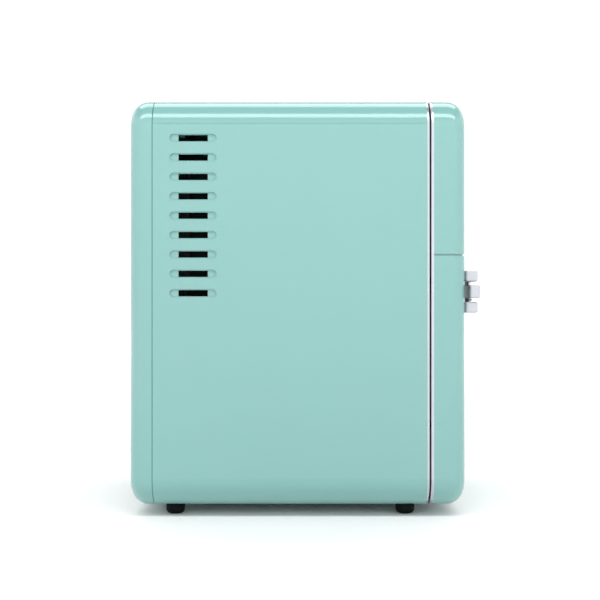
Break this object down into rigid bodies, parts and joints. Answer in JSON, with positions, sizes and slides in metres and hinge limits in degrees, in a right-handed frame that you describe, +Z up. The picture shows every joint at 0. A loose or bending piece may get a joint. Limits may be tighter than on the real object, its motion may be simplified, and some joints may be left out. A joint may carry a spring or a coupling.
{
  "type": "mini fridge",
  "caption": "Retro glossy mint countertop mini fridge with a full-height hinged door, latch lever, side louvres and rear fan.",
  "frame": {"origin": "bottom centre of the overall box, on the surface the feet stand on", "axes": "+Z up, -Y towards the door's front, +X towards the hinge side"},
  "size_m": [0.19, 0.2356, 0.281],
  "materials": {
    "mint_gloss": "high gloss",
    "silver_trim": "satin silver",
    "silver_latch": "bright",
    "grey_rubber": "matte",
    "black_rubber": "matte",
    "white_plastic": "semi gloss",
    "clear_plastic": "translucent",
    "foam": "matte",
    "bare_aluminium": "extruded",
    "black_aluminium": "black anodised",
    "white_ceramic": "matte",
    "black_plastic": "fine texture",
    "board_green": "solder mask",
    "plated_brass": "plated",
    "steel": "zinc plated",
    "dark_magnet": "ferrite"
  },
  "bodies": {
    "cabinet": {"ac_inlet": "black_plastic", "ac_inlet_pins": "plated_brass", "board_components": "black_plastic", "board_screws": "steel", "cabinet_trim_ring": "silver_trim", "cold_block": "bare_aluminium", "cold_heat_sink": "bare_aluminium", "dc_inlet": "black_plastic", "dc_inlet_pins": "plated_brass", "foam_insulation": "foam", "foot_front_left": "black_rubber", "foot_front_right": "black_rubber", "foot_rear_left": "black_rubber", "foot_rear_right": "black_rubber", "heat_sink_screws": "steel", "hinge_screws": "steel", "hot_heat_sink": "black_aluminium", "inner_fan_cover": "white_plastic", "inner_fan_frame": "black_plastic", "inner_liner": "white_plastic", "lower_hinge_anchor": "white_plastic", "lower_hinge_arm": "steel", "lower_hinge_pin": "steel", "outer_shell": "mint_gloss", "peltier_module": "white_ceramic", "power_board": "board_green", "rear_cover": "mint_gloss", "rear_cover_screws": "steel", "rear_fan_frame": "black_plastic", "rear_fan_screws": "steel", "strike_plate": "steel", "switch_housing": "black_plastic", "upper_hinge_anchor": "white_plastic", "upper_hinge_arm": "steel", "upper_hinge_pin": "steel"},
    "door": {"door_skin": "mint_gloss", "door_trim_ring": "silver_trim", "door_liner": "white_plastic", "door_foam": "foam", "door_gasket": "grey_rubber", "door_magnet": "dark_magnet", "upper_hinge_block": "white_plastic", "lower_hinge_block": "white_plastic", "latch_bracket": "silver_latch", "latch_pin": "steel", "latch_spring": "steel", "latch_screws": "steel"},
    "lever": {"latch_lever": "silver_latch"},
    "rear_rotor": {"rear_fan_rotor": "black_plastic"},
    "inner_rotor": {"inner_fan_rotor": "black_plastic"},
    "rocker": {"mode_rocker": "black_plastic"},
    "shelf_tray": {"shelf": "clear_plastic"},
    "upper_bin": {"upper_door_bin": "clear_plastic"},
    "lower_bin": {"lower_door_bin": "clear_plastic"}
  },
  "joints": [
    {"name": "door_swing", "type": "hinge", "parent": "cabinet", "child": "door", "pos_m": [0.0904, -0.09673, 0.144], "axis": [0, 0, 1], "range_deg": [0, 115]},
    {"name": "latch_pull", "type": "hinge", "parent": "door", "child": "lever", "pos_m": [-0.06, -0.11422, 0.1516], "axis": [0, 0, 1], "range_deg": [0, 20], "stiffness_Nm_per_rad": 0.1},
    {"name": "rear_fan_spin", "type": "hinge", "parent": "cabinet", "child": "rear_rotor", "pos_m": [0, 0.08943, 0.194], "axis": [0, 1, 0], "continuous": true},
    {"name": "inner_fan_spin", "type": "hinge", "parent": "cabinet", "child": "inner_rotor", "pos_m": [0, 0.01767, 0.194], "axis": [0, 1, 0], "continuous": true},
    {"name": "mode_switch", "type": "hinge", "parent": "cabinet", "child": "rocker", "pos_m": [0.034, 0.11157, 0.046], "axis": [1, 0, 0], "range_deg": [-8, 8]},
    {"name": "shelf_slide", "type": "slide", "parent": "cabinet", "child": "shelf_tray", "axis": [0, -1, 0], "range_m": [0, 0.006]},
    {"name": "upper_bin_lift", "type": "slide", "parent": "door", "child": "upper_bin", "axis": [0, 0, 1], "range_m": [0, 0.008]},
    {"name": "lower_bin_lift", "type": "slide", "parent": "door", "child": "lower_bin", "axis": [0, 0, 1], "range_m": [0, 0.008]}
  ]
}
